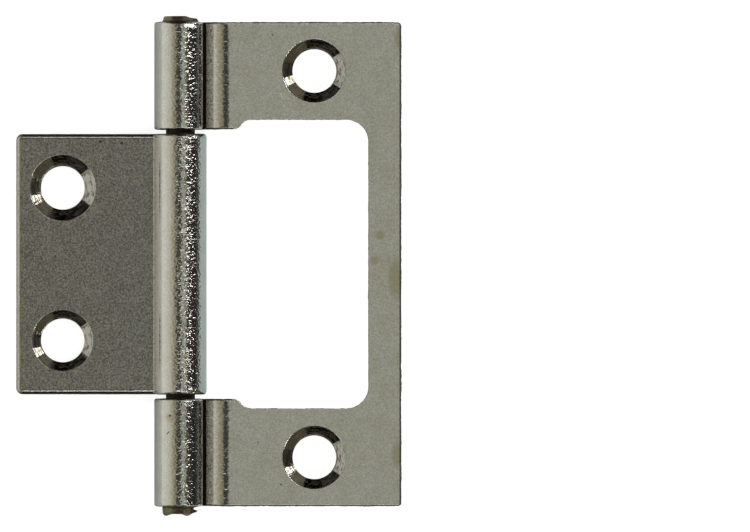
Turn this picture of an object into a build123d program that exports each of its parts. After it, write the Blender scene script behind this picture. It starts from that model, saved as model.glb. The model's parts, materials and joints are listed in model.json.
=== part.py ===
"""A steel flush hinge, open flat: the inner leaf is the blank punched out of the outer leaf.

Both leaves are pressed from one sheet. Each rolls its own tabs round the pin, and both plates
stand off the pin axis by the same small amount, on opposite sides of it. Half a turn of the
inner leaf about the pin therefore lays it level inside the window of the outer leaf.

The origin is the middle of the outer leaf's two screw holes, on its seating face. +X runs from
the pin to the outer leaf's free edge, +Y along the pin and +Z out of the countersunk side.
"""

from build123d import *
from math import acos, asin, atan, cos, degrees, radians, sin, sqrt
import os

# Sheet and pin
sheet = 1.15                  # thickness of both leaves
pin_diameter = 3.0
pin_play = 0.05               # radial clearance of the pin in every knuckle
leaf_offset = 0.50            # pin axis to the near face of each plate

# Inner leaf
inner_height = 26.9           # along the pin, plate and knuckle alike
inner_reach = 16.97           # pin axis to free edge
inner_corner_radius = 0.65
inner_rollover = 0.28         # rounded rim of the countersunk side
inner_hole_setback = 4.79     # hole centre to free edge
inner_hole_inset = 5.575      # hole centre to the plate's end
inner_bend_radius = 0.1       # tight corner where the plate turns up into its roll
inner_seam_gap = 0.12         # free end of the roll to the back of that corner

# Outer leaf
outer_height = 50.0           # along the pin, over both knuckles
knuckle_gap = 0.39            # between neighbouring knuckles, along the pin
window_side_gap = 1.37        # inner plate to window, at its two ends
window_end_gap = 2.35         # inner plate's free edge to window
window_corner_radius = 2.2
outer_strip = 3.52            # plate left beyond the window
outer_corner_radius = 0.45
outer_rollover = 0.25         # rounded rim of the seating side
window_bevel = 0.12           # broken rim of the window, on the countersunk side
outer_hole_setback = 9.02     # hole centre to free edge
outer_bend_angle = 43.2       # how far the tab turns down before it rolls round the pin
outer_bend_radius = 2.25      # inside of that bend
outer_seam_gap = 0.78         # free end of the roll to the slope beside it
shoulder_setback = 0.07       # flat between that bend and the window's shoulder
shoulder_run = 1.85           # length of the shoulder's S-curve

# Screw holes, the same in both leaves
screw_hole_diameter = 4.5
countersink_diameter = 6.4
countersink_angle = 90.0

# Pin ends, peened over the outer knuckles
head_diameter = 3.8
head_height = 0.57
head_slant = 6.0              # degrees that the head's top falls towards the outer leaf
tail_diameter = 3.9
tail_height = 0.72
end_rounding = 0.22           # rim of the head and of the tail
tail_lump_radius = 0.45
tail_lump_sink = 0.2          # lump centres below the tail's end face
tail_lumps = ((-1.3, 0.4), (0.72, 0.9))   # from the pin axis, along X and Z

# Knuckles: the sheet rolled round the pin and its play
bore_radius = pin_diameter / 2 + pin_play
knuckle_radius = bore_radius + sheet

# Window and outline of the outer leaf, from the inner leaf and its gaps
tab_edge = inner_height / 2 + knuckle_gap
window_edge = inner_height / 2 + window_side_gap
window_reach = inner_reach + window_end_gap
outer_reach = window_reach + outer_strip

# The pin axis, seen from the screw pattern at the origin
outer_hole_reach = outer_reach - outer_hole_setback
outer_hole_y = (outer_height / 2 + window_edge) / 2
pin_x = -outer_hole_reach
pin_z = -leaf_offset
section_plane = Plane((pin_x, 0, pin_z), x_dir=(1, 0, 0), z_dir=(0, -1, 0))
blank_plane = Plane((pin_x, 0, pin_z))
through_all = 2 * (knuckle_radius + sheet)

# Where the outer leaf's bend starts, so that its slope runs tangent into the roll
slope = radians(outer_bend_angle)
bend_depth = outer_bend_radius - leaf_offset
bend_start = (knuckle_radius + outer_bend_radius - bend_depth * cos(slope)) / sin(slope)
outer_roll_sweep = 360 - degrees(acos((bore_radius - outer_seam_gap) / knuckle_radius))

# The inner leaf's corner touches the roll from outside, a little below the pin axis
corner_reach = knuckle_radius + inner_bend_radius
corner_drop = leaf_offset - inner_bend_radius
inner_bend_start = sqrt(corner_reach**2 - corner_drop**2)
overhang = degrees(asin(corner_drop / corner_reach))
corner_back = inner_bend_radius + sheet + inner_seam_gap
seam_cosine = (knuckle_radius**2 + corner_reach**2 - corner_back**2) / (
    2 * knuckle_radius * corner_reach
)
inner_roll_sweep = 360 - degrees(acos(seam_cosine))

# The window's shoulder: two equal arcs that make an S
shoulder_start = bend_start + shoulder_setback
shoulder_turn = 2 * atan((window_edge - tab_edge) / shoulder_run)
shoulder_radius = shoulder_run / (2 * sin(shoulder_turn))

os.makedirs("parts", exist_ok=True)

# Outer leaf: plate, ramp and roll, drawn on the seating side and then on the countersunk side
with BuildPart() as outer_leaf:
    with BuildSketch(section_plane):
        with BuildLine():
            for depth in (0, sheet):
                bend_centre = (bend_start, leaf_offset - outer_bend_radius)
                bend = CenterArc(bend_centre, outer_bend_radius + depth, 90, outer_bend_angle)
                roll_start = outer_bend_angle - 90
                roll = CenterArc((0, 0), knuckle_radius - depth, roll_start, -outer_roll_sweep)
                Line((outer_reach, leaf_offset + depth), bend @ 0)
                Line(bend @ 1, roll @ 0)
            lip = sheet * (roll @ 1).normalized()
            Line(roll @ 1, roll @ 1 + lip)
            Line((outer_reach, leaf_offset), (outer_reach, leaf_offset + sheet))
        make_face()
    extrude(amount=outer_height / 2, both=True)
    # The window runs out between the two tabs
    with BuildSketch(blank_plane):
        with BuildLine():
            tab = Line((-through_all, tab_edge), (shoulder_start, tab_edge))
            rise = JernArc(tab @ 1, tab % 1, shoulder_radius, degrees(shoulder_turn))
            level = JernArc(rise @ 1, rise % 1, shoulder_radius, -degrees(shoulder_turn))
            side = Line(level @ 1, (window_reach - window_corner_radius, window_edge))
            corner = JernArc(side @ 1, side % 1, window_corner_radius, -90)
            Line(corner @ 1, (window_reach, 0))
            mirror(about=Plane.XZ)
            Line((-through_all, tab_edge), (-through_all, -tab_edge))
        make_face()
    extrude(amount=through_all, both=True, mode=Mode.SUBTRACT)
    corners = outer_leaf.edges().filter_by(Axis.Z).group_by(Axis.X)[-1]
    fillet(corners, outer_corner_radius)
    # Both rims run on from the plate along the ends of the knuckles
    edges_along_pin = outer_leaf.edges().filter_by(Axis.Y).group_by(Axis.X)
    chamfer(edges_along_pin[-2].sort_by(Axis.Z)[-1], window_bevel)
    edges_along_pin = outer_leaf.edges().filter_by(Axis.Y).group_by(Axis.X)
    fillet(edges_along_pin[-1].sort_by(Axis.Z)[0], outer_rollover)
    with Locations(Plane((0, 0, sheet))):
        with Locations((0, outer_hole_y), (0, -outer_hole_y)):
            CounterSinkHole(
                screw_hole_diameter / 2,
                countersink_diameter / 2,
                counter_sink_angle=countersink_angle,
            )
outer_leaf.part.label = "outer_leaf"

# Inner leaf: plate and roll, drawn on the countersunk side and then on the seating side
with BuildPart() as inner_leaf:
    with BuildSketch(section_plane):
        with BuildLine():
            for depth in (0, sheet):
                bend_centre = (-inner_bend_start, -corner_drop)
                bend = CenterArc(bend_centre, inner_bend_radius + depth, -90, 90 + overhang)
                roll_start = 180 + overhang
                roll = CenterArc((0, 0), knuckle_radius - depth, roll_start, -inner_roll_sweep)
                Line((-inner_reach, -leaf_offset - depth), bend @ 0)
            lip = sheet * (roll @ 1).normalized()
            Line(roll @ 1, roll @ 1 + lip)
            Line((-inner_reach, -leaf_offset), (-inner_reach, -leaf_offset - sheet))
        make_face()
    extrude(amount=inner_height / 2, both=True)
    corners = inner_leaf.edges().filter_by(Axis.Z).group_by(Axis.X)[0]
    fillet(corners, inner_corner_radius)
    # The rounded rim runs on from the plate along the ends of the knuckle
    free_edge = inner_leaf.edges().filter_by(Axis.Y).group_by(Axis.X)[0]
    fillet(free_edge.sort_by(Axis.Z)[-1], inner_rollover)
    with Locations(Plane((pin_x, 0, pin_z - leaf_offset))):
        hole_x = inner_hole_setback - inner_reach
        hole_y = inner_height / 2 - inner_hole_inset
        with Locations((hole_x, hole_y), (hole_x, -hole_y)):
            CounterSinkHole(
                screw_hole_diameter / 2,
                countersink_diameter / 2,
                counter_sink_angle=countersink_angle,
            )
inner_leaf.part.label = "inner_leaf"

# Pin: a shank with a head and a tail peened out over the outer knuckles
with BuildPart() as pin:
    with BuildSketch(Plane((pin_x, 0, pin_z))):
        shank_end = outer_height / 2
        Rectangle(pin_diameter / 2, outer_height, align=(Align.MIN, Align.CENTER))
        with Locations((0, shank_end)):
            Rectangle(head_diameter / 2, head_height, align=Align.MIN)
        with Locations((0, -shank_end)):
            Rectangle(tail_diameter / 2, tail_height, align=(Align.MIN, Align.MAX))
    revolve(axis=Axis((pin_x, 0, pin_z), (0, 1, 0)))
    rims = pin.edges().filter_by(GeomType.CIRCLE).sort_by(Axis.Y)
    fillet([rims[0], rims[-1]], end_rounding)
    # The head was cropped at a slant, so it is lower on the outer leaf's side
    crop = Plane((pin_x - pin_diameter / 2, shank_end + head_height, pin_z), z_dir=(0, 1, 0))
    split(bisect_by=crop.rotated((0, -head_slant, 0)), keep=Keep.BOTTOM)
    # Lumps that the peening left on the tail
    lump_y = -shank_end - tail_height + tail_lump_sink
    with Locations(*[(pin_x + along, lump_y, pin_z + up) for along, up in tail_lumps]):
        Sphere(tail_lump_radius)
pin.part.label = "pin"

export_step(outer_leaf.part, "parts/outer_leaf.step")
export_step(inner_leaf.part, "parts/inner_leaf.step")
export_step(pin.part, "parts/pin.step")
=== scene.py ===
"""A pressed steel flush hinge lying open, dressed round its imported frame.

Both leaves are built the way the real ones are: a flat blank is outlined, punched and countersunk,
and then laid along its section, which bends it and rolls its tabs round the pin.
"""

import json
from math import pi, radians

import bpy
import bmesh
import numpy as np
from bpy.props import FloatProperty, FloatVectorProperty, PointerProperty
from mathutils import Matrix, Vector
from mathutils.geometry import delaunay_2d_cdt


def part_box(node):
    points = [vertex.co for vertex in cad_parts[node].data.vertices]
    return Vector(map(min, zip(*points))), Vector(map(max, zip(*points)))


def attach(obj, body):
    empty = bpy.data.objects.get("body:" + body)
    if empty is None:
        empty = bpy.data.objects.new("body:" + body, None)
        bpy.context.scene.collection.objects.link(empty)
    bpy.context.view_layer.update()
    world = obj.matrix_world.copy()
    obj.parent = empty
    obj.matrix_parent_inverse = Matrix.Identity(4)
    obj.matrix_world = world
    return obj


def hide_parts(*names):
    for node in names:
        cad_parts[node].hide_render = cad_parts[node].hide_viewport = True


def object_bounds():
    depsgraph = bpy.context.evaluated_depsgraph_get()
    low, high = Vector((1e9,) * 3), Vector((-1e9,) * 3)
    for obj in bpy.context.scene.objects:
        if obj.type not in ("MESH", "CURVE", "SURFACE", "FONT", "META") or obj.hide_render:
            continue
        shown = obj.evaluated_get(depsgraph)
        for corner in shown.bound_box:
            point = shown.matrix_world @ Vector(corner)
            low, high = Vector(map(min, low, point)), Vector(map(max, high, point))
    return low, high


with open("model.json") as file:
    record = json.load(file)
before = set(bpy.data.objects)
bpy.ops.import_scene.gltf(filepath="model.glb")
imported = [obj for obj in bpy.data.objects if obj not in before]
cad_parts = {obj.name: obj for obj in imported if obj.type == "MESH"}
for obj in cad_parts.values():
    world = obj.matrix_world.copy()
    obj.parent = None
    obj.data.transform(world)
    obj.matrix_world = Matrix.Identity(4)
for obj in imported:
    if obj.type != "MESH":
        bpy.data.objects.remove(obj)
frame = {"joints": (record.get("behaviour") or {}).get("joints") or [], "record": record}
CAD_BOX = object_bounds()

bl_info = {
    "name": "Flush Hinge",
    "version": (1, 0, 0),
    "blender": (4, 5, 0),
    "location": "View3D > Sidebar > Flush Hinge",
    "description": "Builds a pressed steel flush hinge and the stage it lies on",
    "category": "Add Mesh",
}

MM = 0.001

# Places that the frame already holds, in millimetres
PIN_AXIS = np.array(frame["joints"][0]["pos_m"]) / MM
OUTER_HIGH = np.array(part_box("outer_leaf")[1]) / MM
INNER_LOW, INNER_HIGH = (np.array(corner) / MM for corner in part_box("inner_leaf"))
PIN_LOW, PIN_HIGH = (np.array(corner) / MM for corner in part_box("pin"))
MOUNTS = {mount["name"]: mount for mount in frame["record"]["mounts"]}


def number(name, description, default, **settings):
    """A number property."""
    return FloatProperty(name=name, description=description, default=default, **settings)


def length(name, description, millimetres):
    """A size property in metres, given here in millimetres."""
    return number(name, description, millimetres * MM, unit="LENGTH", precision=5)


def angle(name, description, degrees):
    """An angle property, given here in degrees."""
    return number(name, description, radians(degrees), unit="ROTATION")


def in_mm(settings, *names):
    """Some of a group's sizes, in millimetres."""
    return [getattr(settings, name) / MM for name in names]


def tint(name, description, colour):
    """A colour property, linear red, green and blue."""
    return FloatVectorProperty(
        name=name, description=description, default=colour, subtype="COLOR", size=3, min=0, max=1
    )


class LeafSizes(bpy.types.PropertyGroup):
    """Sizes of the two leaves that the frame's boxes and mounts don't give."""

    sheet: length("Sheet", "Thickness of both leaves", 1.15)
    knuckle_radius: length("Knuckle radius", "Outside of every knuckle", 2.7)
    leaf_offset: length("Leaf offset", "Pin axis to the near face of each plate", 0.5)
    inner_corner: length("Inner corner", "Corner radius of the inner leaf", 0.65)
    inner_rollover: length("Inner rollover", "Rounded rim of the inner leaf", 0.28)
    outer_corner: length("Outer corner", "Corner radius of the outer leaf", 0.45)
    outer_rollover: length("Outer rollover", "Rounded rim of the outer leaf's seat side", 0.25)
    window_rollover: length("Window rollover", "Rounded rim of the window", 0.12)
    window_reach: length("Window reach", "Pin axis to the far end of the window", 19.32)
    window_half: length("Window half height", "Middle of the hinge to the window's side", 14.82)
    window_corner: length("Window corner", "Corner radius of the window", 2.2)
    knuckle_gap: length("Knuckle gap", "Between neighbouring knuckles", 0.39)
    shoulder_setback: length("Shoulder setback", "Bend to the window's shoulder", 0.07)
    shoulder_run: length("Shoulder run", "Length of the shoulder's S-curve", 1.85)
    bend_angle: angle("Bend angle", "How far the outer leaf's tabs turn down", 43.2)
    bend_radius: length("Bend radius", "Inside of the outer leaf's bend", 2.25)
    outer_seam: length("Outer seam", "Free end of the outer rolls to the slope beside them", 0.78)
    inner_bend: length("Inner bend radius", "Tight corner of the inner leaf", 0.1)
    inner_seam: length("Inner seam", "Free end of the inner roll to the corner's back", 0.12)
    lip_corner: length("Lip corner", "Corner radius at the free end of each roll", 0.34)
    hole_radius: length("Screw hole", "Radius of the screw holes", 2.25)
    spacing: length("Sample spacing", "Distance between points along the outlines", 0.12)


class SteelFinish(bpy.types.PropertyGroup):
    """Colours and roughness of the plated sheet and of the bare pin."""

    plating: tint("Plating", "Dull nickel on both leaves", (0.61, 0.605, 0.575))
    # Partly painted shade: bare steel darkened to near-black to stand for the shade along the rims
    sheared_edge_and_shade_colour: tint("Sheared edge", "Bare steel on the sheared edges", (0.05, 0.047, 0.04))
    sink_colour: tint("Countersink", "Steel in the cut countersinks", (0.42, 0.41, 0.38))
    sink_soil: tint("Countersink soil", "Brown film in the countersinks", (0.18, 0.135, 0.08))
    # Painted light: a lighter colour for the slope beside the outer rolls, which lies in their
    # shade
    slope_light_colour: tint("Scuff", "Rubbed plating beside the rolls", (0.92, 0.89, 0.80))
    stain_colour: tint("Stain", "Yellow-brown storage stains", (0.42, 0.36, 0.22))
    # Also colours one spot of painted shade, under the pin's head
    dirt_and_shade_colour: tint("Dirt", "Dark specks", (0.05, 0.045, 0.035))
    scratch_colour: tint("Scratch", "Bright scratches", (0.9, 0.9, 0.88))
    pin_light: tint("Pin, light", "Olive-tan skin of the pin's ends", (0.33, 0.29, 0.19))
    pin_dark: tint("Pin, dark", "Dark brown skin of the pin's ends", (0.045, 0.033, 0.02))
    roughness: number("Roughness", "Roughness of the plating", 0.14, min=0, max=1)
    grain_size: length("Grain", "Size of the plating's grain", 0.27)
    grain_height: length("Grain height", "Height of the plate's grain", 0.010)
    roll_grain_height: length("Roll grain height", "Height of the grain on the rolls", 0.044)
    outer_bow: angle("Outer bow", "Lean of the outer plate's surface away from the pin", 8.0)
    inner_bow: angle("Inner bow", "Lean of the inner plate's surface away from the pin", 4.0)


class StageSettings(bpy.types.PropertyGroup):
    """Camera, floor and lamps."""

    lens: number("Lens", "Focal length", 465.3, unit="CAMERA", min=10)
    camera_height: length("Camera height", "Camera above the pin axis", 1000.0)
    camera_east: length("Camera offset", "Camera from the pin axis, across the hinge", 20.07)
    camera_north: length("Camera shift", "Camera from the hinge's middle, along the pin", -0.19)
    floor_span: number("Floor span", "Width of the floor", 8.0, unit="LENGTH")
    floor_colour: tint("Floor", "Colour of the floor", (0.9, 0.9, 0.9))
    floor_glow: number("Floor glow", "How white the floor looks to the camera", 0.8, min=0)
    room_light: number("Room light", "Strength of the room", 1.0, min=0)


class FlushHinge(bpy.types.PropertyGroup):
    """Everything that a user would change on the hinge."""

    sizes: PointerProperty(type=LeafSizes, name="Sizes", description="Sizes of the leaves")
    finish: PointerProperty(type=SteelFinish, name="Finish", description="Colours of the steel")
    stage: PointerProperty(type=StageSettings, name="Stage", description="Camera and light")


# Lines made of straight runs and arcs


class Trace:
    """A line of straight runs and arcs. Its heading turns at one steady rate within each run."""

    def __init__(self, start, heading, runs):
        """runs is a list of (length, turn): how long each run is and how far it turns left."""
        self.lengths = np.array([run[0] for run in runs], float)
        self.turns = np.array([run[1] for run in runs], float)
        self.starts = np.concatenate([[0.0], np.cumsum(self.lengths)])[:-1]
        self.total = self.lengths.sum()
        self.headings = heading + np.concatenate([[0.0], np.cumsum(self.turns)])[:-1]
        self.rates = self.turns / self.lengths
        self.points = np.zeros((len(runs), 2))
        self.points[0] = start
        for i in range(1, len(runs)):
            self.points[i] = self.at(self.starts[i - 1] + self.lengths[i - 1], i - 1)[0]

    def at(self, s, run=None):
        """Point and heading at the distance s. On a run that turns, the point moves by the
        difference of the sines and cosines of its headings over the rate of turn."""
        s = np.asarray(s, float)
        if run is None:
            run = np.clip(np.searchsorted(self.starts, s, "right") - 1, 0, len(self.starts) - 1)
        along = s - self.starts[run]
        first = self.headings[run]
        rate = self.rates[run]
        heading = first + rate * along
        curved = np.abs(rate) > 1e-9
        safe = np.where(curved, rate, 1.0)
        x = np.where(curved, (np.sin(heading) - np.sin(first)) / safe, along * np.cos(first))
        y = np.where(curved, (np.cos(first) - np.cos(heading)) / safe, along * np.sin(first))
        return self.points[run] + np.stack([x, y], -1), heading


def arc(radius, turn):
    """A run that turns left by an angle, or right if it is negative."""
    return radius * abs(turn), turn


def rounded_end(radius, half, way=1):
    """Runs across the end of a strip and round both its corners, turning left, or right if way
    is -1. half is half the strip's width."""
    corner = arc(radius, way * pi / 2)
    return [corner, (2 * (half - radius), 0), corner]


def outline(start, heading, runs, columns, spacing):
    """Points, outward normals and the number of each point's run, round a closed blank. Runs
    along the sheet stop at the columns, so that opposite edges match, and the others are
    divided evenly."""
    trace = Trace(start, heading, runs)
    clear = spacing * 0.3
    points, normals, numbers = [], [], []
    for i, (run, turn) in enumerate(runs):
        first = trace.headings[i]
        if turn == 0 and abs(np.sin(first)) < 1e-6:
            inside = (columns - trace.points[i, 0]) * np.sign(np.cos(first))
            stops = np.sort(inside[(inside > clear) & (inside < run - clear)])
            stops = np.concatenate([[0.0], stops])
        else:
            count = max(int(np.ceil(run / (spacing if turn == 0 else spacing * 0.6))), 2)
            stops = np.arange(count) * run / count
        place, facing = trace.at(trace.starts[i] + stops, np.full(len(stops), i))
        points.append(place)
        normals.append(np.stack([np.sin(facing), -np.cos(facing)], -1))
        numbers.append(np.full(len(stops), i))
    return np.concatenate(points), np.concatenate(normals), np.concatenate(numbers)


def rough_line(count, grain, seed):
    """A closed seeded line of noise from -1 to 1, smoothed over that many points."""
    noise = np.random.default_rng(seed).normal(size=count)
    waves = np.fft.rfft(noise)
    waves *= np.exp(-0.5 * (np.arange(len(waves)) * grain * 2 / count) ** 2)
    smooth = np.fft.irfft(waves, count)
    return np.clip(smooth / (2.2 * smooth.std()), -1, 1)


# Meshes

DOUBLES = 0.0004  # points of two patches that are this close, in millimetres, are one
WALL_START = 0.05  # the flat ring between a rim's fill and its roll
CONE_SHARE = 0.78  # depth of a countersink, as a share of a 90 degree cone's
CONE_END = 12  # the row of a hole's profile where its cone ends
HOLE_SIDES = 128
PIN_PLAY = 0.05  # radial clearance of the pin in its knuckles
ROUND_SCALE = 2.7  # how fast the cutter's marks run round a hole


def ring_faces(rows, columns):
    """Quads of a grid whose rows are closed loops, one point after another."""
    row, column = np.meshgrid(np.arange(rows - 1), np.arange(columns), indexing="ij")
    low, following = row * columns, (column + 1) % columns
    high = low + columns
    quads = [low + column, low + following, high + following, high + column]
    return np.stack(quads, -1).reshape(-1, 4)


def scene_object(name, data):
    """A new object in the scene."""
    made = bpy.data.objects.new(name, data)
    bpy.context.scene.collection.objects.link(made)
    return made


def fill_between(rim, holes, lines):
    """Triangles of the flat blank inside its rim and outside its holes. Extra lines of points
    keep the triangles narrow where the sheet is going to bend."""
    loops = [rim, *holes]
    starts = np.cumsum([0] + [len(part) for part in loops + lines])
    faces = [list(range(a, b)) for a, b in zip(starts, starts[1 : len(loops) + 1])]
    edges = [
        pair
        for a, b in zip(starts[len(loops) : -1], starts[len(loops) + 1 :])
        for pair in zip(range(a, b - 1), range(a + 1, b))
    ]
    corners = [Vector(place) for place in np.concatenate(loops + lines).tolist()]
    found = delaunay_2d_cdt(corners, edges, faces, 0, 1e-5, True)
    flat = np.array([place[:] for place in found[0]])
    kept = [face for face, inside in zip(found[2], found[5]) if inside == [0]]
    return flat, np.array(kept)


class Shell:
    """Collects patches of points, faces and point attributes, and joins them into one mesh."""

    def __init__(self):
        self.points, self.faces, self.attributes, self.count = [], [], {}, 0

    def add(self, points, faces, flip=False, **attributes):
        """Adds one patch. flip turns its faces over. An attribute is one value per point or one
        for the whole patch, and a number or three."""
        faces = faces[:, ::-1] if flip else faces
        self.points.append(points)
        self.faces += (faces + self.count).tolist()
        for name, values in attributes.items():
            width = (3,) if np.shape(values)[-1:] == (3,) else ()
            values = np.broadcast_to(values, (len(points),) + width)
            self.attributes.setdefault(name, []).append(values)
        self.count += len(points)

    def build(self, name, smooth_angle):
        """One closed object with its doubles merged, its place in its mesh."""
        mesh = bpy.data.meshes.new(name)
        mesh.from_pydata((np.concatenate(self.points) * MM).tolist(), [], self.faces)
        for key, parts in self.attributes.items():
            values = np.concatenate(parts).astype(np.float32)
            kind = "FLOAT_VECTOR" if values.ndim == 2 else "FLOAT"
            layer = mesh.attributes.new(key, kind, "POINT")
            layer.data.foreach_set("vector" if values.ndim == 2 else "value", values.ravel())
        work = bmesh.new()
        work.from_mesh(mesh)
        bmesh.ops.remove_doubles(work, verts=work.verts, dist=DOUBLES * MM)
        work.to_mesh(mesh)
        work.free()
        mesh.validate()
        mesh.shade_smooth()
        mesh.set_sharp_from_angle(angle=smooth_angle)
        return scene_object(name, mesh)


def rim_profile(rollover, sheet, ragged, spread):
    """Rows across a sheared edge, from the rolled-over face to the burr: how far each lies
    inside the outline, how deep below that face, how ragged it is and how much of it is bare.
    A quarter ellipse, its width the rollover times the spread, rolls the skin over into a
    burnished wall. The torn part below leans in."""
    turn = np.linspace(0, pi / 2, 7)
    width = rollover * spread
    tear = sheet * 0.55
    inset = [width + WALL_START, *(width * (1 - np.sin(turn)))]
    inset += [0.0, 0.01, 0.02, 0.03, 0.09, 0.16 + ragged]
    depth = [0.0, *(rollover * (1 - np.cos(turn)))]
    depth += [tear, tear + 0.05, (tear + sheet) / 2, sheet - 0.05, sheet, sheet]
    rag = [0, 0, 0, 0.1, 0.3, 0.5, 0.8, 1, 1, 1, 1, 1, 1, 0]
    cut = [0] * 4 + [0.3, 0.8] + [1] * 7 + [0]
    return np.array([inset, depth, np.array(rag) * ragged, cut])


def hole_profile(settings, sink_radius):
    """Rows down a countersunk hole, from its rim to the far side: radius, depth below the sunk
    face, how bare, and how much the cutter marked it. A cone at 45 degrees, then a short land."""
    hole, sheet = in_mm(settings, "hole_radius", "sheet")
    cone_depth = (sink_radius - hole) * CONE_SHARE
    down = np.linspace(0, 1, 9)[:-1]
    cone_top = 0.065
    radius = [sink_radius + 0.16, sink_radius + 0.08, sink_radius + 0.03, sink_radius - 0.01]
    radius += [*(sink_radius - 0.05 - down * (sink_radius - 0.05 - hole)), hole]
    radius += [hole, hole, hole + 0.02, hole + 0.08]
    depth = [0.0, 0.0, 0.008, 0.03]
    depth += [*(cone_top + down * (cone_depth - cone_top)), cone_depth]
    depth += [cone_depth + 0.03, sheet - 0.03, sheet, sheet]
    bare = [0] * 13 + [0.6, 1, 0.5, 0]
    worked = [0, 0, 0.3, 0.8] + [1] * 9 + [0.5, 0.3, 0, 0]
    return np.array(radius), np.array(depth), np.array(bare), np.array(worked)


def rolled_leaf(name, section, blank, holes, rims, forming, slope_lighting, lean_to, seed, settings):
    """A closed leaf. The blank's rim is an edge profile carried round its outline, the holes are
    profiles turned about their axes, and both faces are filled in between. Every point is then
    laid along the section: s along the skin, y along the pin, depth to the right of the line."""
    sheet, lip = in_mm(settings, "sheet", "lip_corner")
    points, normals, columns, tabs, flipped = blank
    bend_at = forming[0][0]
    shell = Shell()

    def level(flat):
        """1 on the flat plate, 0 past the start of its bend."""
        return np.clip((bend_at + 0.8 - flat[:, 0]) / 0.8, 0, 1)

    def add(flat, depth, faces, flip, **marks):
        """Lays blank points at a depth below the skin and adds them. Unless marks say otherwise
        they are plain skin: leaning is 1 where the sheet shares the plate's lean, formed grows
        to 1 where bending and rolling roughened it most, the slope's mark is 1 where the slope
        beside the rolls gets a painted light, and sand is 1 on the flat plate."""
        s = flat[:, 0]
        place, heading = section.at(s)
        x = place[:, 0] + depth * np.sin(heading) + PIN_AXIS[0]
        z = place[:, 1] - depth * np.cos(heading) + PIN_AXIS[2]
        plain = {
            "blank": np.column_stack([flat, depth]),
            "cut": 0.0,
            "turned": 0.0,
            "round": np.zeros(3),
            "leaning": np.clip((lean_to - s) / 0.5, 0, 1),
            "formed": np.interp(s, *forming),
            "lit_slope": np.interp(s, *slope_lighting),
            "sand": level(flat),
        }
        shell.add(np.stack([x, flat[:, 1], z], -1), faces, flip, **{**plain, **marks})

    # The rim all round
    count = len(points)
    skin_rolled = rim_profile(rims[0], sheet, rims[2], rims[3])[:, :, None]
    back_rolled = rim_profile(rims[1], sheet, rims[2], rims[3])[:, ::-1, None]
    back_rolled[1] = sheet - back_rolled[1]
    inset, depth, rag, cut = skin_rolled + (back_rolled - skin_rolled) * flipped
    torn = 0.5 + 0.5 * rough_line(count, 2, seed)
    torn = 0.6 * torn + 0.4 * (0.5 + 0.5 * rough_line(count, 14, seed + 1))
    flat = (points - normals * (inset + rag * torn)[..., None]).reshape(-1, 2)
    sand = np.repeat([1.0] + [0.0] * (len(inset) - 2) + [1.0], count) * level(flat)
    add(flat, depth.ravel(), ring_faces(len(inset), count), True, cut=cut.ravel(), sand=sand)

    # The screw holes, a little out of round
    around = np.linspace(0, 2 * pi, HOLE_SIDES, endpoint=False)
    x_way, y_way = np.cos(around), np.sin(around)
    top_holes, under_holes = [], []
    for centre, sink_radius, sunk_side in holes:
        radius, depth, bare, worked = hole_profile(settings, sink_radius)
        if sunk_side == "bore":
            depth = sheet - depth
        ring = radius[:, None] * (1 + 0.004 * np.sin(2 * around + centre[1]) * worked[:, None])
        ring[CONE_END] += 0.1 * np.clip(np.cos(around - 2.4), 0, 1)
        flat = np.stack([centre[0] + ring * x_way, centre[1] + ring * y_way], -1).reshape(-1, 2)
        rows, sides = len(radius), len(around)
        turns = np.tile(np.stack([x_way, y_way], -1) * ROUND_SCALE, (rows, 1))
        unworked = np.repeat((worked == 0).astype(float), sides)
        add(
            flat,
            np.repeat(depth, sides),
            ring_faces(rows, sides),
            sunk_side == "skin",
            cut=np.repeat(bare, sides),
            turned=np.repeat(worked, sides),
            round=np.column_stack([np.repeat(radius, sides), turns]),
            leaning=unworked,
            sand=unworked,
        )
        ends = flat[:sides], flat[-sides:]
        top_holes.append(ends[0 if sunk_side == "skin" else 1])
        under_holes.append(ends[1 if sunk_side == "skin" else 0])

    # Both faces, with lines of points where the sheet bends
    bent = columns[columns > bend_at - 0.4]
    for rim_row, hole_set, depth in ((0, top_holes, 0.0), (-1, under_holes, sheet)):
        rim = points - normals * inset[rim_row][:, None]
        margin = inset[rim_row].max() + 0.02
        lines = []
        for low, high in tabs:
            for column in bent[bent < section.total - margin - lip]:
                y = np.linspace(low + margin, high - margin, max(int((high - low) / 0.6), 3))
                lines.append(np.column_stack([np.full(len(y), column), y]))
        flat, faces = fill_between(rim, hole_set, lines)
        add(flat, np.full(len(flat), depth), faces, rim_row == -1)
    return shell.build(name, radians(38))


def even_columns(end, bend_at, spacing):
    """Stations along the blank: even on the plate and again from the bend to the free end."""
    plate = np.linspace(0, bend_at, int(bend_at / spacing) + 1)
    rolled = np.linspace(bend_at, end, int((end - bend_at) / spacing) + 1)
    return np.concatenate([plate, rolled[1:]])


def screw_holes(mount_name, sink_radii, sunk_side, edge, way):
    """Both holes of a screw mount: place on the flat blank, countersink radius and sunk side.
    The blank starts at the plate's free edge and runs that way along X."""
    mount = MOUNTS[mount_name]
    along = (mount["pos_m"][0] / MM - PIN_AXIS[0] - edge) * way
    half = mount["dims"]["spacing_y_mm"] / 2
    places = np.array([along, half]), np.array([along, -half])
    return [(place, radius, sunk_side) for place, radius in zip(places, sink_radii)]


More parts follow.
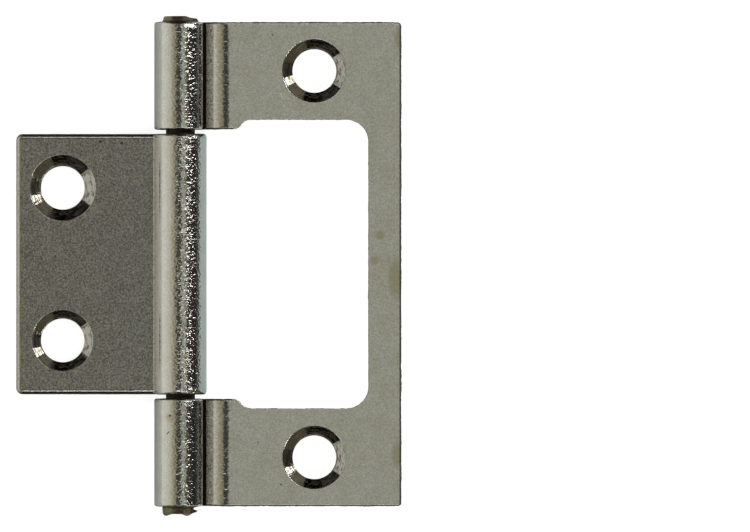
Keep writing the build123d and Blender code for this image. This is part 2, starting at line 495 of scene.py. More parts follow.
def outer_leaf_piece(settings):
    """The outer leaf: plate, ramp and two rolled tabs, with the window between them."""
    sheet, radius, offset, bend = in_mm(
        settings, "sheet", "knuckle_radius", "leaf_offset", "bend_radius"
    )
    corner, lip, gap, spacing = in_mm(
        settings, "outer_corner", "lip_corner", "outer_seam", "spacing"
    )
    slope = settings.bend_angle
    reach, half = OUTER_HIGH[0] - PIN_AXIS[0], OUTER_HIGH[1]
    bend_start = (radius + bend - (bend - offset) * np.cos(slope)) / np.sin(slope)
    bend_centre = np.array([bend_start, offset - bend])
    bend_end = bend_centre + bend * np.array([-np.sin(slope), np.cos(slope)])
    roll_start = radius * np.array([np.sin(slope), -np.cos(slope)])
    sweep = 2 * pi - np.arccos((radius - sheet - gap) / radius)
    plate = reach - bend_start
    ramp = np.hypot(*(bend_end - roll_start))
    section_runs = [(plate, 0), arc(bend, slope), (ramp, 0), arc(radius, -sweep)]
    section = Trace((reach, offset), pi, section_runs)

    # The window runs out between the tabs through two S-shaped shoulders
    window, window_half, window_corner, run = in_mm(
        settings, "window_reach", "window_half", "window_corner", "shoulder_run"
    )
    knuckle_gap, setback = in_mm(settings, "knuckle_gap", "shoulder_setback")
    tab_edge = INNER_HIGH[1] + knuckle_gap
    turn = 2 * np.arctan((window_half - tab_edge) / run)
    shoulder = arc(run / (2 * np.sin(turn)), turn)
    shoulder_back = (shoulder[0], -turn)
    shoulder_at = plate - setback
    arm = (shoulder_at - run - (reach - window) - window_corner, 0)
    tab = (section.total - lip - shoulder_at, 0)
    long_side = (section.total - lip - corner, 0)
    free_end = rounded_end(lip, (half - tab_edge) / 2)
    window_end = rounded_end(window_corner, window_half, -1)
    opening = [shoulder, shoulder_back, arm, *window_end, arm, shoulder_back, shoulder]
    before = [long_side, *free_end, tab]
    runs = [*before, *opening, tab, *free_end, long_side, *rounded_end(corner, half)]
    columns = even_columns(section.total, plate, spacing)
    points, normals, numbers = outline((corner, -half), 0, runs, columns, spacing)
    first, end = len(before), len(before + opening)
    in_window = ((numbers >= first) & (numbers < end)).astype(float)
    blank = (points, normals, columns, [(-half, -tab_edge), (tab_edge, half)], in_window)
    holes = screw_holes("outer_leaf_screws", (3.22, 3.2), "bore", reach, -1)
    rims = (*in_mm(settings, "outer_rollover", "window_rollover"), 0.10, 1.0)

    # Roughened where it was bent and rolled; the slope in between gets a painted light, a
    # lighter and rougher surface
    slope_at, roll_at = section.starts[2:]
    bending = [plate, plate + 0.4, plate + 0.65, plate + 0.9, slope_at - 0.15, slope_at + 0.1]
    rolling = roll_at + radius * np.radians([120, 135, 197, 210])
    forming = [*bending, *rolling], [0, 0.8, 0.8, 0.35, 0.35, 1, 1, 0.2, 0.2, 1]
    slope_lighting = slope_at + np.array([-0.33, -0.18, 0.45, 0.6]), [0, 1, 1, 0]
    lean_to = roll_at - 0.6
    return rolled_leaf(
        "outer_leaf_sheet", section, blank, holes, rims, forming, slope_lighting, lean_to, 11, settings
    )


def inner_leaf_piece(settings):
    """The inner leaf: plate and one long roll that turns straight up from it."""
    sheet, radius, offset, bend = in_mm(
        settings, "sheet", "knuckle_radius", "leaf_offset", "inner_bend"
    )
    corner, lip, gap, spacing = in_mm(
        settings, "inner_corner", "lip_corner", "inner_seam", "spacing"
    )
    reach, half = PIN_AXIS[0] - INNER_LOW[0], INNER_HIGH[1]
    far, drop = radius + bend, offset - bend
    overhang = np.arcsin(drop / far)
    back = bend + sheet + gap
    sweep = 2 * pi - np.arccos((radius**2 + far**2 - back**2) / (2 * radius * far))
    plate = reach - np.sqrt(far**2 - drop**2)
    section = Trace(
        (-reach, -offset), 0, [(plate, 0), arc(bend, pi / 2 + overhang), arc(radius, -sweep)]
    )
    long_side = (section.total - lip - corner, 0)
    runs = [long_side, *rounded_end(lip, half), long_side, *rounded_end(corner, half)]
    columns = even_columns(section.total, plate, spacing)
    points, normals, numbers = outline((corner, -half), 0, runs, columns, spacing)
    blank = (points, normals, columns, [(-half, half)], 0.0 * numbers)
    holes = screw_holes("inner_leaf_screws", (3.35, 3.1), "skin", -reach, 1)
    rims = (*in_mm(settings, "inner_rollover", "inner_rollover"), 0.02, 1.7)
    rolling = section.starts[2] + radius * np.radians([5, 72, 86])
    forming = [plate, *rolling], [0, 0.15, 0.15, 1.25]
    unlit_slope = [0], [0]
    return rolled_leaf(
        "inner_leaf_sheet", section, blank, holes, rims, forming, unlit_slope, plate, 23, settings
    )


def pin_piece(settings):
    """The pin: a profile turned about the pin axis, from the head's middle to the tail's. The
    head's top falls away on a slant, and the tail swells into seeded lumps and notches."""
    seat = OUTER_HIGH[1]
    radius, sheet = in_mm(settings, "knuckle_radius", "sheet")
    shank = radius - sheet - PIN_PLAY
    head, tail = PIN_HIGH[1] - seat, -PIN_LOW[1] - seat
    head_r = [0.0, 0.4, 0.8, 1.15, 1.45, 1.6, 1.7, 1.76, 1.8, 1.85, 1.9, 1.55]
    head_y = seat + head * np.array([1, 1, 1, 1, 1, 0.99, 0.96, 0.9, 0.7, 0.35, 0, 0])
    tail_r = [1.55, 1.86, 1.92, 1.93, 1.9, 1.9, 1.84, 1.7, 1.5, 1.2, 0.8, 0.4, 0.0]
    tail_y = [0, 0, 0.12, 0.3, 0.45, 0.6, 0.7, 0.76, 0.78, 0.78, 0.76, 0.75, 0.75]
    radius = np.array([*head_r, shank, shank, *tail_r])
    height = np.array([*head_y, seat - 0.02, -seat + 0.02, *(-seat - tail * np.array(tail_y))])
    around = np.linspace(0, 2 * pi, 144, endpoint=False)
    sides = len(around)
    r = np.repeat(radius[:, None], sides, 1)
    y = np.repeat(height[:, None], sides, 1)
    x_way, z_way = np.cos(around), np.sin(around)
    on_head, on_tail = (height > seat)[:, None], (height < -seat)[:, None]

    # The head, cropped on a slant towards the outer leaf
    east = r * x_way - 0.6
    slant = 0.12 * np.clip(east / 0.5, 0, 1) + 0.1 * np.clip(east, 0, None)
    y = np.where(on_head, seat + (y - seat) * np.clip(1 - slant / head, 0.15, 1), y)
    r = np.where(on_head, r * (1 - 0.03 + 0.03 * rough_line(sides, 3, 5)), r)

    # The tail, narrower towards the outer leaf but for a thin fin, with two lumps on its end
    share = np.clip((-seat - y) / tail, 0, 1)
    r = np.where(on_tail, r * (0.98 + 0.05 * rough_line(sides, 6, 9) * (0.4 + share)), r)
    r = np.minimum(r, PIN_HIGH[0] - PIN_AXIS[0] - 0.01)
    fin = np.exp(-(((share - 0.5) / 0.16) ** 2)) * (np.abs(z_way) < 0.5)
    narrowed = 1 - 0.36 * np.clip(x_way, 0, 1) * np.clip(share * 6, 0, 1) * (1 - fin)
    r = np.where(on_tail, r * narrowed, r)
    lump = np.zeros_like(r)
    for lump_x, lump_z, size, rise in ((-1.5, 0.5, 0.45, 0.22), (0.7, 0.8, 0.4, 0.24)):
        away = np.hypot(r * x_way - lump_x, r * z_way - lump_z)
        lump += rise * np.exp(-((away / size) ** 2))
    y = np.where(on_tail & (share > 0.5), y - lump * tail, y)
    y = np.maximum(y, PIN_LOW[1])
    points = np.stack([PIN_AXIS[0] + r * x_way, y, PIN_AXIS[2] + r * z_way], -1).reshape(-1, 3)
    shell = Shell()
    end = np.repeat(np.where(on_head | on_tail, 1.0, 0.0).ravel(), sides)
    shell.add(points, ring_faces(len(radius), sides), flip=True, end=end)
    return shell.build("pin_wire", radians(50))


# Shader groups


def fill(tree, inputs, values):
    """Links or sets a node's inputs. values gives them by name or number: a socket to link, or a
    plain number, vector or colour."""
    for key, value in dict(values).items():
        if isinstance(value, bpy.types.NodeSocket):
            tree.links.new(value, inputs[key])
        else:
            inputs[key].default_value = (*value, 1) if inputs[key].type == "RGBA" else value


def node(tree, kind, values=(), **settings):
    """A new node with its settings and its inputs' values."""
    made = tree.nodes.new(kind)
    for key, value in settings.items():
        setattr(made, key, value)
    fill(tree, made.inputs, values)
    return made


def new_group(name, inputs, outputs):
    """An empty shader node group with those sockets, and its two end nodes."""
    group = bpy.data.node_groups.new(name, "ShaderNodeTree")
    for label, kind, default in inputs:
        socket = group.interface.new_socket(label, in_out="INPUT", socket_type=kind)
        if default is not None:
            socket.default_value = default
    for label, kind in outputs:
        group.interface.new_socket(label, in_out="OUTPUT", socket_type=kind)
    return group, node(group, "NodeGroupInput"), node(group, "NodeGroupOutput")


FLOAT, VECTOR = "NodeSocketFloat", "NodeSocketVector"


def attribute(tree, name, output="Fac"):
    """One of the mesh's own attributes."""
    return node(tree, "ShaderNodeAttribute", attribute_name=name).outputs[output]


def mapped(tree, socket, low, high, to_low=0.0, to_high=1.0, smooth=False):
    """A socket carried from one range to another and held inside it."""
    ends = {"From Min": low, "From Max": high, "To Min": to_low, "To Max": to_high}
    kind = "SMOOTHSTEP" if smooth else "LINEAR"
    values = {"Value": socket, **ends}
    return node(tree, "ShaderNodeMapRange", values, interpolation_type=kind).outputs["Result"]


def maths(tree, operation, *values):
    """One sum of numbers or sockets."""
    return node(tree, "ShaderNodeMath", enumerate(values), operation=operation).outputs[0]


def times(tree, *values):
    """The product of numbers or sockets."""
    total = values[0]
    for value in values[1:]:
        total = maths(tree, "MULTIPLY", total, value)
    return total


def plus(tree, value, factor, added):
    """A value times a factor, added to another."""
    return maths(tree, "MULTIPLY_ADD", value, factor, added)


def blend(tree, factor, first, second):
    """Mixes two colours, each a socket or a plain colour. A mix node holds its factor in input
    0 and its colours in inputs 6 and 7, and gives them back in output 2."""
    values = {0: factor, 6: first, 7: second}
    return node(tree, "ShaderNodeMix", values, data_type="RGBA").outputs[2]


def noise(tree, vector, scale, detail, rough, seed=0.0):
    """A noise texture's factor, four-dimensional so that each use has its own seed."""
    values = {"Vector": vector, "W": seed, "Scale": scale, "Detail": detail, "Roughness": rough}
    return node(tree, "ShaderNodeTexNoise", values, noise_dimensions="4D").outputs["Fac"]


def vector_maths(tree, operation, *values):
    """One sum of vectors, each a socket or a plain vector."""
    made = node(tree, "ShaderNodeVectorMath", enumerate(values), operation=operation)
    return made.outputs["Value" if operation == "LENGTH" else "Vector"]


def place_in_mm(tree):
    """Object coordinates in millimetres."""
    place = node(tree, "ShaderNodeTexCoord").outputs["Object"]
    return vector_maths(tree, "MULTIPLY", place, (1 / MM,) * 3)


def axes(tree, vector):
    """The three parts of a vector."""
    return node(tree, "ShaderNodeSeparateXYZ", {0: vector}).outputs


def group_node(tree, name, values):
    """The outputs of one use of a shared node group."""
    group = bpy.data.node_groups[name]
    return list(node(tree, "ShaderNodeGroup", values, node_tree=group).outputs)


def bumped(tree, height):
    """The surface normal, tilted by a height in metres."""
    values = {"Strength": 1.0, "Distance": 1.0, "Height": height}
    return node(tree, "ShaderNodeBump", values).outputs["Normal"]


def new_material(name):
    """A material, its tree and its Principled BSDF's inputs."""
    material = bpy.data.materials.new(name)
    material.use_nodes = True
    return material, material.node_tree, material.node_tree.nodes["Principled BSDF"].inputs


def grain_group(finish):
    """Grain of plated sheet: its height in metres, fine on the plate and drawn out across the
    pin where the sheet was bent. Also a patchy mask of how dull it is, and its speckle."""
    group, enter, leave = new_group(
        "sheet_grain",
        [("Blank", VECTOR, None), ("Formed", FLOAT, 0.0)],
        [("Height", FLOAT), ("Patches", FLOAT), ("Speckle", FLOAT)],
    )
    blank, formed = enter.outputs["Blank"], enter.outputs["Formed"]
    per_grain = MM / finish.grain_size
    fine = times(group, noise(group, blank, per_grain * 1.2, 0.6, 0.5), finish.grain_height)
    drawn = vector_maths(group, "MULTIPLY", blank, (0.75, 1.15, 1))
    drawn = noise(group, drawn, per_grain * 1.2, 0.6, 0.5, seed=3.0)
    drawn = times(group, drawn, finish.roll_grain_height)
    height = times(group, fine, maths(group, "SUBTRACT", 1.0, formed))
    height = plus(group, drawn, formed, height)
    patches = noise(group, blank, 0.55, 3.0, 0.6, seed=7.0)
    patches = mapped(group, patches, 0.38, 0.66, smooth=True)
    speckle = noise(group, blank, per_grain * 2.1, 1.0, 0.5, seed=11.0)
    speckle = mapped(group, speckle, 0.3, 0.7, -1.0, 1.0)
    fill(group, leave.inputs, {"Height": height, "Patches": patches, "Speckle": speckle})


def lean_group():
    """Leans a normal over along X by an angle where a mask says so, and along Y by a push."""
    group, enter, leave = new_group(
        "lean",
        [("Normal", VECTOR, None)] + [(key, FLOAT, 0.0) for key in ("Angle", "Mask", "Push")],
        [("Normal", VECTOR)],
    )
    normal, angle, mask, along = list(enter.outputs)[:4]
    push = node(group, "ShaderNodeCombineXYZ", {"X": times(group, angle, mask), "Y": along})
    leaning = vector_maths(group, "ADD", normal, push.outputs[0])
    fill(group, leave.inputs, {"Normal": vector_maths(group, "NORMALIZE", leaning)})


def spot(tree, place, centre, size, turn=0.0):
    """Mask of one oval spot on the sheet, in millimetres from the part's origin, seen from
    above: 1 in its middle, falling to 0 at its edge."""
    oval = {"Location": (*centre, 0), "Rotation": (0, 0, turn), "Scale": (*size, 1)}
    made = node(tree, "ShaderNodeMapping", {"Vector": place, **oval}, vector_type="TEXTURE")
    flat = vector_maths(tree, "MULTIPLY", made.outputs[0], (1, 1, 0))
    return mapped(tree, vector_maths(tree, "LENGTH", flat), 0.4, 1.0, 1.0, 0.0, smooth=True)


def gathered(tree, place, spots):
    """Mask of several spots together."""
    total = 0.0
    for item in spots:
        total = maths(tree, "MAXIMUM", total, spot(tree, place, *item))
    return total


DULLNESS = 0.16  # share of the stain's colour in the plating's duller patches
STAIN_STRENGTH = 0.6
CUTTER_DEPTH, TEAR_DEPTH, PEENING_DEPTH = 0.018, 0.04, 0.05  # height of each bump, millimetres

# Marks on this very hinge: centre, half its length and width in millimetres, and its turn if any
STAINS = (
    ((8.7, 23.2), (0.6, 1.5), 0.1),
    ((8.35, -1.5), (0.95, 2.7)),
    ((8.6, -19.6), (0.8, 1.8)),
    ((6.8, 3.0), (0.65, 0.7)),
    ((6.2, 0.4), (0.6, 0.7)),
    ((-15.0, -15.8), (0.35, 0.55), 0.3),
)
DIRT_AND_SHADE = (
    ((-15.05, -17.35), (0.28, 0.07), 0.75),
    ((-14.85, -15.6), (0.18, 0.14), 0.2),
    ((-4.3, 23.6), (0.13, 0.1)),
    ((-3.45, -22.7), (0.17, 0.09), -0.4),
    ((-5.8, -18.4), (0.05, 0.35), -0.1),
    ((-22.1, 12.65), (0.35, 0.1)),
    ((-19.9, 12.5), (0.22, 0.12), 0.2),
    # Painted shade: the dark gap under the pin's head, along the upper knuckle's top end
    ((-14.0, 24.88), (1.5, 0.26)),
)
# Dents that the peening left at the knuckles' ends, and how far each leans along the pin
DENTS = (
    (((-12.8, 24.66), (0.75, 0.34), -0.3), 0.098),
    (((-12.9, -14.25), (0.55, 0.38), 0.1), 0.11),
    (((-12.6, -12.95), (0.5, 0.38), 0.1), -0.18),
)
SCRATCHES = (
    ((-3.4, 17.4), (0.05, 0.5), 0.35),
    ((-3.1, 16.3), (0.05, 0.2), 0.3),
    ((-6.6, 20.8), (0.12, 0.1)),
)
# Coloured films on the pin's peened ends: centre and half its length and width, and colour.
# The near-black blue patch at the right of each end is painted shade.
PIN_FILMS_AND_SHADE = (
    ((-15.2, 25.3), (0.8, 0.6), (0.36, 0.32, 0.18)),
    ((-14.1, 25.4), (0.8, 0.35), (0.07, 0.045, 0.02)),
    ((-13.3, 25.2), (0.45, 0.4), (0.22, 0.22, 0.14)),
    ((-12.2, 25.2), (0.5, 0.4), (0.012, 0.018, 0.05)),
    ((-15.2, -25.5), (0.9, 0.7), (0.26, 0.23, 0.12)),
    ((-14.0, -25.55), (0.8, 0.35), (0.10, 0.045, 0.025)),
    ((-13.1, -25.95), (0.5, 0.22), (0.50, 0.50, 0.46)),
    ((-12.8, -25.4), (0.25, 0.3), (0.40, 0.22, 0.07)),
    ((-12.1, -25.5), (0.55, 0.5), (0.012, 0.015, 0.03)),
)


def plated_steel(name, bow, sandy, finish):
    """Dull nickel plate over mill-finished sheet, bare at its sheared edges and countersinks.
    The bare sheared steel is painted near-black, which also stands for shade along the rims.
    """
    material, tree, shader = new_material(name)
    blank, round_hole = (attribute(tree, key, "Vector") for key in ("blank", "round"))
    leaning, formed, lit_slope, cut, turned, sand = (
        attribute(tree, key) for key in ("leaning", "formed", "lit_slope", "cut", "turned", "sand")
    )
    place = place_in_mm(tree)
    values = {"Blank": blank, "Formed": formed}
    grain_height, patches, speckle = group_node(tree, "sheet_grain", values)
    sand = times(tree, sand, sandy)

    def hole_noise(stretch, detail, rough, seed):
        """Noise in a countersink, stretched down it and round it."""
        down, round_it = stretch
        vector = vector_maths(tree, "MULTIPLY", round_hole, (down, round_it, round_it))
        return noise(tree, vector, 1.0, detail, rough, seed)

    # Colour: plating, its duller patches and the painted light on the slope beside the rolls,
    # and the speckle over both
    dull = blend(tree, DULLNESS, finish.plating, finish.stain_colour)
    colour = blend(tree, patches, finish.plating, dull)
    colour = blend(tree, lit_slope, colour, finish.slope_light_colour)
    depth = plus(tree, leaning, 0.12, 0.08)
    depth = plus(tree, sand, 0.34, depth)
    depth = plus(tree, lit_slope, 0.35, depth)
    light = plus(tree, speckle, depth, 1.0)
    grey = node(tree, "ShaderNodeCombineXYZ", {axis: light for axis in "XYZ"})
    colour = vector_maths(tree, "MULTIPLY", colour, grey.outputs[0])

    # Then stains, the cut countersinks with their brown film, sheared steel that is partly
    # painted shade, dirt with one spot of painted shade, and scratches
    stain = times(tree, gathered(tree, place, STAINS), STAIN_STRENGTH)
    film = mapped(tree, hole_noise((5.0, 1.3), 3.0, 0.7, 6.0), 0.47, 0.64, smooth=True)
    sink = blend(tree, film, finish.sink_colour, finish.sink_soil)
    dirt_and_shade, scratch = gathered(tree, place, DIRT_AND_SHADE), gathered(tree, place, SCRATCHES)
    masks = (stain, turned, cut, dirt_and_shade, scratch)
    covers = (finish.stain_colour, sink, finish.sheared_edge_and_shade_colour, finish.dirt_and_shade_colour)
    for mask, cover in zip(masks, (*covers, finish.scratch_colour)):
        colour = blend(tree, mask, colour, cover)

    # Roughness: satin plating, torn edges, bright cutter marks
    rough = mapped(tree, cut, 0.0, 1.0, finish.roughness, 0.42)
    for mask, more in ((sand, 0.15), (lit_slope, 0.75), (turned, -0.06), (scratch, 0.2)):
        rough = plus(tree, mask, more, rough)
    metallic = mapped(tree, times(tree, film, turned), 0.0, 1.0, 1.0, 0.55)

    # Height: grain everywhere, rings and chatter in the countersinks, tears on the edges
    rings = hole_noise((9.0, 0.35), 2.0, 0.6, 2.0)
    chatter = hole_noise((0.6, 2.4), 1.0, 0.5, 5.0)
    worked = times(tree, plus(tree, chatter, 1.6, rings), CUTTER_DEPTH * MM)
    torn = vector_maths(tree, "MULTIPLY", blank, (1, 1, 0.3))
    torn = times(tree, noise(tree, torn, 9.0, 3.0, 0.7, 4.0), TEAR_DEPTH * MM)
    push, dented = 0.0, 0.0
    for oval, amount in DENTS:
        dent = mapped(tree, spot(tree, place, *oval), 0.0, 0.4)
        push = plus(tree, dent, amount, push)
        dented = maths(tree, "MAXIMUM", dent, dented)
    smooth = maths(tree, "SUBTRACT", 1.0, maths(tree, "MAXIMUM", turned, dented))
    height = times(tree, grain_height, smooth)
    height = plus(tree, worked, turned, height)
    height = plus(tree, torn, cut, height)
    values = {"Normal": bumped(tree, height), "Angle": bow, "Mask": leaning, "Push": push}
    normal = group_node(tree, "lean", values)[0]
    looks = {"Base Color": colour, "Roughness": rough, "Metallic": metallic, "Normal": normal}
    fill(tree, shader, looks)
    return material


def pin_steel(finish):
    """Bare wire, mottled olive and dark brown where peened, painted shade at each end's right."""
    material, tree, shader = new_material("pin_steel")
    place = place_in_mm(tree)
    mottle = noise(tree, place, 1.6, 4.0, 0.65, 1.0)
    fine = noise(tree, place, 6.0, 3.0, 0.6, 2.0)
    end = attribute(tree, "end")
    mix = mapped(tree, plus(tree, fine, 0.5, times(tree, mottle, 0.5)), 0.40, 0.60, smooth=True)
    # The shank, which shows only in the gaps between the knuckles, is all the pin's dark colour
    colour = blend(tree, times(tree, mix, end), finish.pin_dark, finish.pin_light)
    for centre, size, patch in PIN_FILMS_AND_SHADE:
        share = times(tree, spot(tree, place, centre, size), end)
        share = times(tree, share, mapped(tree, fine, 0.3, 0.6, 0.45, 1.0))
        colour = blend(tree, share, colour, patch)
    rough = mapped(tree, fine, 0.3, 0.7, 0.35, 0.6)
    normal = bumped(tree, times(tree, fine, PEENING_DEPTH * MM))
    looks = {"Base Color": colour, "Roughness": rough, "Metallic": 0.7, "Normal": normal}
    fill(tree, shader, looks)
    return material


def dress(piece, material, body, cad_node):
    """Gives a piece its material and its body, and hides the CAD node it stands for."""
    piece.data.materials.append(material)
    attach(piece, body)
    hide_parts(cad_node)


# Operators


class HINGE_OT_outer_leaf(bpy.types.Operator):
    """Build the windowed outer leaf with its two rolled knuckles."""

    bl_idname = "hinge.outer_leaf"
    bl_label = "Outer Leaf"

    def execute(self, context):
        hinge = context.scene.flush_hinge
        material = plated_steel("outer_plate", hinge.finish.outer_bow, 0.0, hinge.finish)
        dress(outer_leaf_piece(hinge.sizes), material, "outer", "outer_leaf")
        return {"FINISHED"}


class HINGE_OT_inner_leaf(bpy.types.Operator):
    """Build the inner leaf with its long rolled knuckle."""

    bl_idname = "hinge.inner_leaf"
    bl_label = "Inner Leaf"

    def execute(self, context):
        hinge = context.scene.flush_hinge
        material = plated_steel("inner_plate", -hinge.finish.inner_bow, 1.0, hinge.finish)
        dress(inner_leaf_piece(hinge.sizes), material, "inner", "inner_leaf")
        return {"FINISHED"}


class HINGE_OT_pin(bpy.types.Operator):
    """Build the pin with its peened head and tail."""

    bl_idname = "hinge.pin"
    bl_label = "Pin"

    def execute(self, context):
        hinge = context.scene.flush_hinge
        dress(pin_piece(hinge.sizes), pin_steel(hinge.finish), "outer", "pin")
        return {"FINISHED"}


WHITE = (1, 1, 1)
WARM_WHITE = (1, 0.98, 0.95)

# Each lamp's name, tilt from straight up across the hinge and lift towards +Y in degrees,
# distance and sides in metres, radiance and colour
LAMPS = (
    ("back_box", 4, 20, 0.6, (0.4, 0.10), 0.9, WARM_WHITE),
    ("front_box", 4, -20, 0.6, (0.4, 0.08), 1.6, WARM_WHITE),
    ("back_tube", 43.7, 15.5, 0.6, (0.42, 0.03), 8.0, WHITE),
    ("front_tube", 41.7, -18, 0.6, (0.26, 0.03), 8.0, WHITE),
    ("spark", 70.5, 23, 0.5, (0.06, 0.13), 6.0, WARM_WHITE),
)

# Light of the floor in reflections at each place across the hinge, from the pin axis: a
# painted reflection, darkest near the axis, where it is painted shadow of the hinge
FLOOR_LIGHT = (
    (-30, (0.25, 0.26, 0.25)),
    (-11, (0.12, 0.15, 0.13)),
    (-5, (0.03, 0.05, 0.06)),
    (0, (0.10, 0.14, 0.15)),
    (3, (0.194, 0.265, 0.285)),
    (10, (0.194, 0.265, 0.285)),
)
# Colour of the room at each angle from straight up, negative towards the inner leaf
ROOM_LIGHT = (
    (-180, (0.10, 0.10, 0.10)),
    (-106, (0.60, 0.60, 0.57)),
    (-90, (0.88, 0.88, 0.83)),
    (-67, (0.82, 0.82, 0.76)),
    (-48, (0.66, 0.64, 0.55)),
    (-29, (0.38, 0.35, 0.26)),
    (-21, (0.34, 0.30, 0.21)),
    (-15.5, (0.12, 0.11, 0.085)),
    (-10, (0.04, 0.04, 0.034)),
    (2, (0.05, 0.06, 0.055)),
    (6, (0.30, 0.33, 0.30)),
    (9, (0.48, 0.53, 0.47)),
    (12, (0.42, 0.43, 0.36)),
    (19, (0.45, 0.455, 0.395)),
    (24, (0.28, 0.27, 0.22)),
    (29, (0.09, 0.08, 0.06)),
    (35, (0.02, 0.018, 0.015)),
    (70, (0.015, 0.015, 0.015)),
    (81, (0.07, 0.067, 0.055)),
    (99, (0.28, 0.31, 0.31)),
    (180, (0.10, 0.10, 0.10)),
)
# Lights in the room's upper corners: lows and highs of x times y where they begin and are full
BACK_CORNER = (0.30, 0.40), (0.22, 0.195, 0.145)
FRONT_CORNER = (-0.22, -0.32), (0.12, 0.105, 0.062)
END_WINDOW = (0.42, 0.42, 0.39)


def area_lamp(name, tilt, lift, distance, size, radiance, colour):
    """An area lamp looking at the pin axis. Its sides run across the hinge and along the pin,
    and its power is its radiance times pi times its area."""
    lamp = bpy.data.lights.new(name, "AREA")
    lamp.shape = "RECTANGLE"
    lamp.size, lamp.size_y = size
    lamp.energy = radiance * pi * size[0] * size[1]
    lamp.color = colour
    tilt, lift = radians(tilt), radians(lift)
    back = Vector((np.cos(lift) * np.sin(tilt), np.sin(lift), np.cos(lift) * np.cos(tilt)))
    across = Vector((0, 1, 0)).cross(back).normalized()
    turn = Matrix((across, back.cross(across), back)).transposed()
    piece = scene_object(name, lamp)
    piece.location = Vector(PIN_AXIS * MM) + back * distance
    piece.rotation_euler = turn.to_euler()


def light_ramp(tree, socket, low, high, light):
    """Colour that changes along a socket's value. light lists angles in degrees or places in
    millimetres, from low to high, with the colour at each."""
    ramp = node(tree, "ShaderNodeValToRGB", {"Fac": mapped(tree, socket, low, high)})
    stops = ramp.color_ramp.elements
    while len(stops) < len(light):
        stops.new(0.5)
    first, last = light[0][0], light[-1][0]
    for stop, (place, colour) in zip(stops, light):
        stop.position = (place - first) / (last - first)
        stop.color = (*colour, 1)
    return ramp.outputs["Color"]


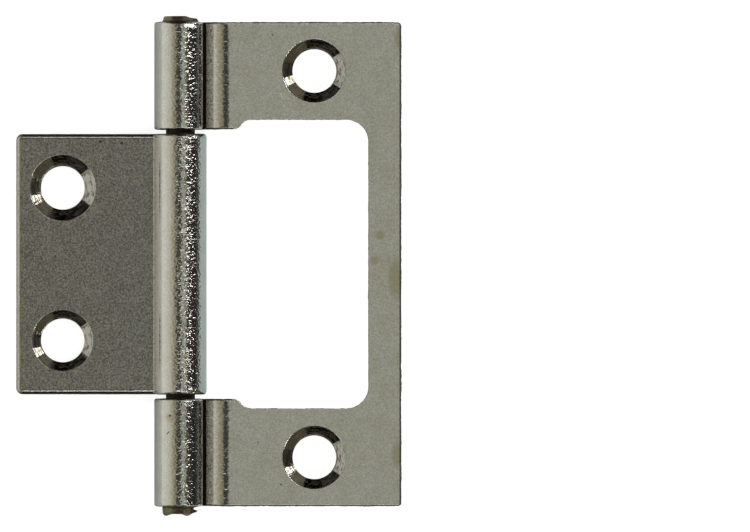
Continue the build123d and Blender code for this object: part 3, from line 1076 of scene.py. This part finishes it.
class HINGE_OT_stage(bpy.types.Operator):
    """Build the white floor, the lamps, the room and the camera."""

    bl_idname = "hinge.stage"
    bl_label = "Stage"

    def execute(self, context):
        stage = context.scene.flush_hinge.stage
        self.floor(stage, float(CAD_BOX[0].z))
        for lamp in LAMPS:
            area_lamp(*lamp)
        self.room(stage)
        camera = bpy.data.cameras.new("camera")
        camera.lens = stage.lens
        viewer = scene_object("camera", camera)
        offset = Vector((stage.camera_east, stage.camera_north, stage.camera_height))
        viewer.location = Vector(PIN_AXIS * MM) + offset
        context.scene.camera = viewer
        context.scene.view_settings.view_transform = "Standard"
        return {"FINISHED"}

    def floor(self, stage, level):
        """A wide plane under the knuckles, white to the camera. What it sends into reflections
        changes across the hinge."""
        span = stage.floor_span / 2
        mesh = bpy.data.meshes.new("floor")
        corners = [(x * span, y * span, level) for x, y in ((-1, -1), (1, -1), (1, 1), (-1, 1))]
        mesh.from_pydata(corners, [], [(0, 1, 2, 3)])
        floor = scene_object("floor", mesh)
        material, tree, shader = new_material("floor")
        path = node(tree, "ShaderNodeLightPath").outputs
        seen = maths(tree, "MAXIMUM", path["Is Camera Ray"], path["Is Transmission Ray"])
        x = axes(tree, node(tree, "ShaderNodeTexCoord").outputs["Object"])["X"]
        across = maths(tree, "SUBTRACT", x, float(PIN_AXIS[0]) * MM)
        first, last = FLOOR_LIGHT[0][0], FLOOR_LIGHT[-1][0]
        mirrored = light_ramp(tree, across, first * MM, last * MM, FLOOR_LIGHT)
        glow = blend(tree, seen, mirrored, (stage.floor_glow,) * 3)
        shown = maths(tree, "MAXIMUM", seen, path["Is Glossy Ray"])
        fill(tree, shader, {"Emission Color": glow, "Emission Strength": shown})
        matt = {"Base Color": stage.floor_colour, "Roughness": 0.9, "Specular IOR Level": 0.0}
        fill(tree, shader, matt)
        mesh.materials.append(material)

    def room(self, stage):
        """A studio whose light changes with the angle from straight up, across the hinge, and
        fades towards both ends of the pin, but for lights in its upper corners."""
        world = bpy.data.worlds.new("room")
        world.use_nodes = True
        tree = world.node_tree
        background = tree.nodes["Background"].inputs
        x, y, z = axes(tree, node(tree, "ShaderNodeTexCoord").outputs["Generated"])
        light = light_ramp(tree, maths(tree, "ARCTAN2", x, z), -pi, pi, ROOM_LIGHT)
        sideways, endways = maths(tree, "ABSOLUTE", x), maths(tree, "ABSOLUTE", y)
        middle = mapped(tree, endways, 0.47, 0.56, 1.0, 0.012, smooth=True)
        wide = mapped(tree, sideways, 0.25, 0.35, smooth=True)
        high = mapped(tree, z, 0.36, 0.45, smooth=True)
        far = mapped(tree, endways, 0.56, 0.65, smooth=True)
        above = times(tree, mapped(tree, z, 0.0, 0.1), mapped(tree, x, 0.0, 0.1))
        colour = blend(tree, middle, (0, 0, 0), light)
        for ends, corner_light in (BACK_CORNER, FRONT_CORNER):
            corner = mapped(tree, times(tree, x, y), *ends, smooth=True)
            colour = blend(tree, times(tree, corner, above), colour, corner_light)
        colour = blend(tree, times(tree, wide, high, far), colour, END_WINDOW)
        fill(tree, background, {"Color": colour, "Strength": stage.room_light})
        bpy.context.scene.world = world


class HINGE_PT_panel(bpy.types.Panel):
    """Lists the hinge's operators and settings in the sidebar."""

    bl_idname = "HINGE_PT_panel"
    bl_label = "Flush Hinge"
    bl_space_type = "VIEW_3D"
    bl_region_type = "UI"
    bl_category = "Flush Hinge"

    def draw(self, context):
        layout = self.layout
        hinge = context.scene.flush_hinge
        for operator in OPERATORS:
            layout.operator(operator.bl_idname)
        for group in (hinge.sizes, hinge.finish, hinge.stage):
            box = layout.box()
            for name in group.__annotations__:
                box.prop(group, name)


OPERATORS = (HINGE_OT_outer_leaf, HINGE_OT_inner_leaf, HINGE_OT_pin, HINGE_OT_stage)
CLASSES = (LeafSizes, SteelFinish, StageSettings, FlushHinge) + OPERATORS + (HINGE_PT_panel,)


def register():
    """Registers the classes and hangs the settings on the scene."""
    for item in CLASSES:
        bpy.utils.register_class(item)
    bpy.types.Scene.flush_hinge = PointerProperty(
        type=FlushHinge, name="Flush Hinge", description="Settings of the hinge"
    )


def unregister():
    """Takes the settings and classes away again."""
    del bpy.types.Scene.flush_hinge
    for item in reversed(CLASSES):
        bpy.utils.unregister_class(item)


def main():
    """Builds the hinge and its stage."""
    register()
    grain_group(bpy.context.scene.flush_hinge.finish)
    lean_group()
    bpy.ops.hinge.outer_leaf()
    bpy.ops.hinge.inner_leaf()
    bpy.ops.hinge.pin()
    bpy.ops.hinge.stage()


if __name__ == "__main__":
    main()
